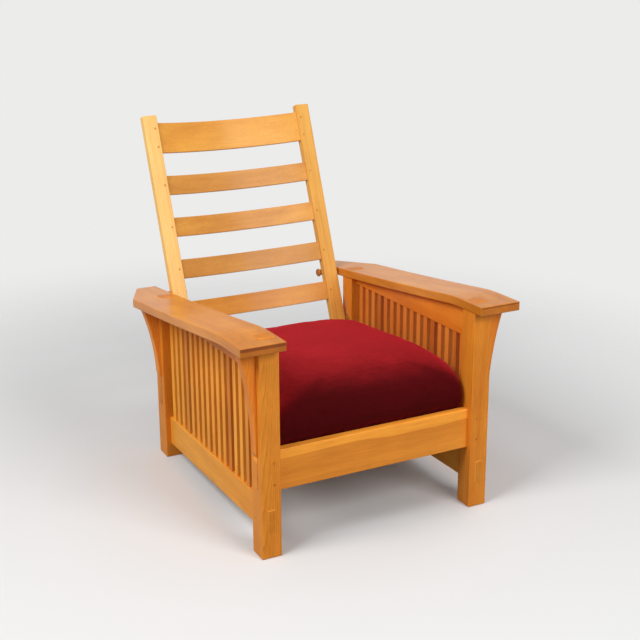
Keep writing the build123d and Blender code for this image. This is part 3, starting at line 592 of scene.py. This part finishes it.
def velvet_pile(name):
    """Velvet: a ramp on the normal's Y darkens the faces turned to the front, and a ramp on height
    the low sides: painted shade, which leaves the top painted bright as if lit from above and
    catching the sheen. Slow drifts of tone are noise, short level slubs noise drawn out sideways,
    the fine pile is in the bump, and a crimson sheen shows where it is seen edge on."""
    velvet = bpy.data.materials.new(name)
    velvet.use_nodes = True
    parts, wires = velvet.node_tree.nodes, velvet.node_tree.links
    shader = parts["Principled BSDF"]
    place = parts.new("ShaderNodeTexCoord")

    def noise(scale, detail, stretch):
        drawn = parts.new("ShaderNodeMapping")
        drawn.inputs["Scale"].default_value = stretch
        wires.new(place.outputs["Object"], drawn.inputs["Vector"])
        made = parts.new("ShaderNodeTexNoise")
        made.inputs["Scale"].default_value = scale
        made.inputs["Detail"].default_value = detail
        wires.new(drawn.outputs["Vector"], made.inputs["Vector"])
        return made.outputs["Fac"]

    def tint(source, low, high, low_at, high_at):
        made = parts.new("ShaderNodeValToRGB")
        made.color_ramp.elements[0].position, made.color_ramp.elements[0].color = low_at, (*low, 1.0)
        made.color_ramp.elements[1].position, made.color_ramp.elements[1].color = high_at, (*high, 1.0)
        wires.new(source, made.inputs["Fac"])
        return made.outputs["Color"]

    def multiply(amount, under, over):
        made = parts.new("ShaderNodeMix")
        made.data_type, made.blend_type = "RGBA", "MULTIPLY"
        made.inputs["Factor"].default_value = amount
        wires.new(under, made.inputs["A"])
        wires.new(over, made.inputs["B"])
        return made.outputs["Result"]

    crush = noise(5.0, 2.0, (1.0, 1.0, 1.0))
    slub = noise(170.0, 3.0, (0.16, 1.0, 1.0))
    cross_slub = noise(150.0, 2.0, (1.0, 0.25, 0.25))
    pile = noise(1500.0, 2.0, (1.0, 1.0, 1.0))
    apart = parts.new("ShaderNodeSeparateXYZ")
    wires.new(place.outputs["Object"], apart.inputs["Vector"])
    # Painted shade: the low sides darker, by height.
    low_side_shade = parts.new("ShaderNodeMapRange")
    low_side_shade.inputs["From Min"].default_value, low_side_shade.inputs["From Max"].default_value = 0.28, 0.38
    low_side_shade.interpolation_type = "SMOOTHSTEP"
    wires.new(apart.outputs["Z"], low_side_shade.inputs["Value"])
    turned = parts.new("ShaderNodeSeparateXYZ")
    wires.new(place.outputs["Normal"], turned.inputs["Vector"])
    front_face_shade = parts.new("ShaderNodeMapRange")
    front_face_shade.inputs["From Min"].default_value, front_face_shade.inputs["From Max"].default_value = -0.95, 0.10
    front_face_shade.interpolation_type = "SMOOTHSTEP"
    wires.new(turned.outputs["Y"], front_face_shade.inputs["Value"])
    # Painted shade: faces turned to the front and the low sides darker, the top painted bright.
    colour = tint(front_face_shade.outputs["Result"], (0.082, 0.0020, 0.0033), (0.350, 0.0120, 0.0160), 0.0, 1.0)
    colour = multiply(1.0, colour, tint(low_side_shade.outputs["Result"], (0.72, 0.66, 0.66), (1.0, 1.0, 1.0),
                                        0.0, 1.0))
    colour = multiply(0.4, colour, tint(crush, (0.72, 0.66, 0.66), (1.2, 1.2, 1.2), 0.35, 0.65))
    colour = multiply(0.22, colour, tint(slub, (0.50, 0.45, 0.45), (1.15, 1.1, 1.1), 0.35, 0.65))
    colour = multiply(0.15, colour, tint(cross_slub, (0.6, 0.55, 0.55), (1.12, 1.1, 1.1), 0.35, 0.65))
    colour = multiply(0.35, colour, tint(pile, (0.6, 0.55, 0.55), (1.2, 1.2, 1.2), 0.3, 0.7))
    wires.new(colour, shader.inputs["Base Color"])
    nap = parts.new("ShaderNodeBump")
    nap.inputs["Strength"].default_value = 0.35
    nap.inputs["Distance"].default_value = 0.0008
    wires.new(pile, nap.inputs["Height"])
    cloth = parts.new("ShaderNodeBump")
    cloth.inputs["Strength"].default_value = 0.12
    cloth.inputs["Distance"].default_value = 0.0012
    wires.new(slub, cloth.inputs["Height"])
    wires.new(nap.outputs["Normal"], cloth.inputs["Normal"])
    wires.new(cloth.outputs["Normal"], shader.inputs["Normal"])
    shader.inputs["Roughness"].default_value = 0.85
    shader.inputs["Specular IOR Level"].default_value = 0.06
    shader.inputs["Sheen Weight"].default_value = 0.9
    shader.inputs["Sheen Roughness"].default_value = 0.32
    shader.inputs["Sheen Tint"].default_value = (0.72, 0.035, 0.055, 1.0)
    return velvet


velvet = velvet_pile("crimson_velvet")
for piece in (seat, band):
    piece.data.materials.clear()
    piece.data.materials.append(velvet)
    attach(piece, "frame")
smooth = seat.modifiers.new("smooth", "SUBSURF")
smooth.levels = smooth.render_levels = 1
seat.data.polygons.foreach_set("use_smooth", np.ones(len(seat.data.polygons), bool))
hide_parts("seat_cushion")

# Back posts and slats: two long posts pivoted between the rear legs, and five thin boards bent
# to the sitter's back and tenoned between them. The grain leans with them.
recline = math.radians(20.9) + frame_lean
UP_THE_BACK = (recline, 0.0, 0.0)
# The left post's paler, yellower colour is painted light, where the lamps fall on it.
for side, heart, light, dark in (
        ("left", (0.31, 0.2, 0.3), (1.0, 0.64, 0.22), (0.94, 0.53, 0.145)),
        ("right", (-0.20, 0.25, 1.4), (0.88, 0.47, 0.100), (0.76, 0.36, 0.064))):
    finish_node(side + "_back_post", oak_finish(side + "_back_post_oak", UP_THE_BACK, heart, light,
                                                dark, end=(0.80, 0.72, 0.62), figure=0.35))
slat_tones = (((0.90, 0.45, 0.075), (0.74, 0.310, 0.042)), ((0.76, 0.37, 0.075), (0.58, 0.235, 0.038)),
              ((0.84, 0.43, 0.085), (0.64, 0.265, 0.042)), ((0.71, 0.345, 0.070), (0.56, 0.235, 0.040)),
              ((0.80, 0.365, 0.052), (0.62, 0.235, 0.025)))
for number, (light, dark) in enumerate(slat_tones):
    heart = (-0.1 - 0.17 * number, 0.35 + 0.11 * number, 0.8 * number)
    finish_node("back_slat_%d" % (number + 1),
                oak_finish("back_slat_%d_oak" % (number + 1), ACROSS_THE_CHAIR, heart, light, dark,
                           gloss=0.34, coat=0.15, figure=0.45))
finish_node("back_pins", oak_finish("back_pin_end_grain", FRONT_TO_BACK, (0.7, 0.6, 0.4),
                                    (0.80, 0.40, 0.085), (0.62, 0.28, 0.045), end=(0.9, 0.84, 0.76)))

# Adjusting pegs: turned from the same oak, with a small flat knob that peeps out past the post.
# Their colour is painted darker than the other oak: painted shade, where the knob sits behind the post.
# They draw out sideways to let the back down.
for side, heart in (("left", (0.35, 0.62, 0.1)), ("right", (-0.3, 0.55, 0.8))):
    finish_node(side + "_adjusting_peg", oak_finish(side + "_peg_wood", ACROSS_THE_CHAIR, heart,
                                                    (0.58, 0.23, 0.038), (0.40, 0.13, 0.017),
                                                    gloss=0.26))

# Studio: a pale floor that fades out into a pale background of the same tone, a large soft lamp
# high at the left, another in front, a broad weak one at the right, and even light all round.
floor_mesh = bpy.data.meshes.new("studio_floor")
floor_mesh.from_pydata([(-9, -9, 0), (9, -9, 0), (9, 9, 0), (-9, 9, 0)], [], [(0, 1, 2, 3)])
floor = bpy.data.objects.new("studio_floor", floor_mesh)
bpy.context.scene.collection.objects.link(floor)
paper = bpy.data.materials.new("floor_paper")
paper.use_nodes = True
sheet, glue = paper.node_tree.nodes, paper.node_tree.links
matt = sheet["Principled BSDF"]
matt.inputs["Roughness"].default_value = 0.8
matt.inputs["Specular IOR Level"].default_value = 0.15


def seen_rays(tree):
    """1 for rays that look straight, by reflection or through glass, 0 for scattered light."""
    path = tree.nodes.new("ShaderNodeLightPath")
    total = path.outputs["Is Camera Ray"]
    for kind in ("Is Glossy Ray", "Is Transmission Ray"):
        both = tree.nodes.new("ShaderNodeMath")
        both.operation, both.use_clamp = "ADD", True
        tree.links.new(total, both.inputs[0])
        tree.links.new(path.outputs[kind], both.inputs[1])
        total = both.outputs["Value"]
    return total


paper_tone = sheet.new("ShaderNodeMix")
paper_tone.data_type = "RGBA"
paper_tone.inputs["A"].default_value = (0.30, 0.285, 0.265, 1.0)
paper_tone.inputs["B"].default_value = (0.76, 0.757, 0.75, 1.0)
glue.new(seen_rays(paper.node_tree), paper_tone.inputs["Factor"])
glue.new(paper_tone.outputs["Result"], matt.inputs["Base Color"])
spot = sheet.new("ShaderNodeTexCoord")
distance = sheet.new("ShaderNodeVectorMath")
distance.operation = "LENGTH"
glue.new(spot.outputs["Object"], distance.inputs[0])
fade = sheet.new("ShaderNodeMapRange")
fade.interpolation_type = "SMOOTHSTEP"
fade.inputs["From Min"].default_value, fade.inputs["From Max"].default_value = 0.8, 2.3
glue.new(distance.outputs["Value"], fade.inputs["Value"])
clear = sheet.new("ShaderNodeBsdfTransparent")
joined = sheet.new("ShaderNodeMixShader")
glue.new(fade.outputs["Result"], joined.inputs["Fac"])
glue.new(matt.outputs["BSDF"], joined.inputs[1])
glue.new(clear.outputs["BSDF"], joined.inputs[2])
glue.new(joined.outputs["Shader"], sheet["Material Output"].inputs["Surface"])
floor_mesh.materials.append(paper)

world = bpy.data.worlds.new("studio_air")
bpy.context.scene.world = world
world.use_nodes = True
air = world.node_tree
scattered = air.nodes["Background"]
scattered.inputs["Color"].default_value = (0.95, 0.97, 1.0, 1.0)
scattered.inputs["Strength"].default_value = 0.34
backdrop = air.nodes.new("ShaderNodeBackground")
backdrop.inputs["Color"].default_value = (0.84, 0.838, 0.832, 1.0)
either = air.nodes.new("ShaderNodeMixShader")
air.links.new(seen_rays(air), either.inputs["Fac"])
air.links.new(scattered.outputs["Background"], either.inputs[1])
air.links.new(backdrop.outputs["Background"], either.inputs[2])
air.links.new(either.outputs["Shader"], air.nodes["World Output"].inputs["Surface"])


def soft_lamp(name, place, target, size, power):
    """A square lamp at place, turned to face target."""
    lamp = bpy.data.lights.new(name, "AREA")
    lamp.shape, lamp.size, lamp.energy = "SQUARE", size, power
    stand = bpy.data.objects.new(name, lamp)
    bpy.context.scene.collection.objects.link(stand)
    aim = np.array(target, float) - np.array(place, float)
    flat = math.hypot(aim[0], aim[1])
    stand.rotation_euler = (math.atan2(flat, -aim[2]), 0.0, math.atan2(-aim[0], aim[1]))
    stand.location = place
    return stand


soft_lamp("window", (-2.7, -0.7, 3.2), (0.0, 0.0, 0.45), 1.8, 106.0)
soft_lamp("front", (1.0, -3.4, 2.6), (0.0, 0.0, 0.45), 1.8, 80.0)
soft_lamp("bounce", (3.2, 0.6, 1.8), (0.0, 0.0, 0.45), 2.4, 15.0)

# Camera: where the photographer stood, a little above the chair, with a short telephoto lens.
lens = bpy.data.cameras.new("photo_camera")
lens.lens, lens.sensor_width = 69.01, 36.0
camera = bpy.data.objects.new("photo_camera", lens)
camera.location = (-1.5470, -3.0238, 1.6616)
camera.rotation_euler = (math.radians(70.308), math.radians(-0.865), math.radians(-27.973))
bpy.context.scene.collection.objects.link(camera)
bpy.context.scene.camera = camera
bpy.context.scene.view_settings.view_transform = "Standard"
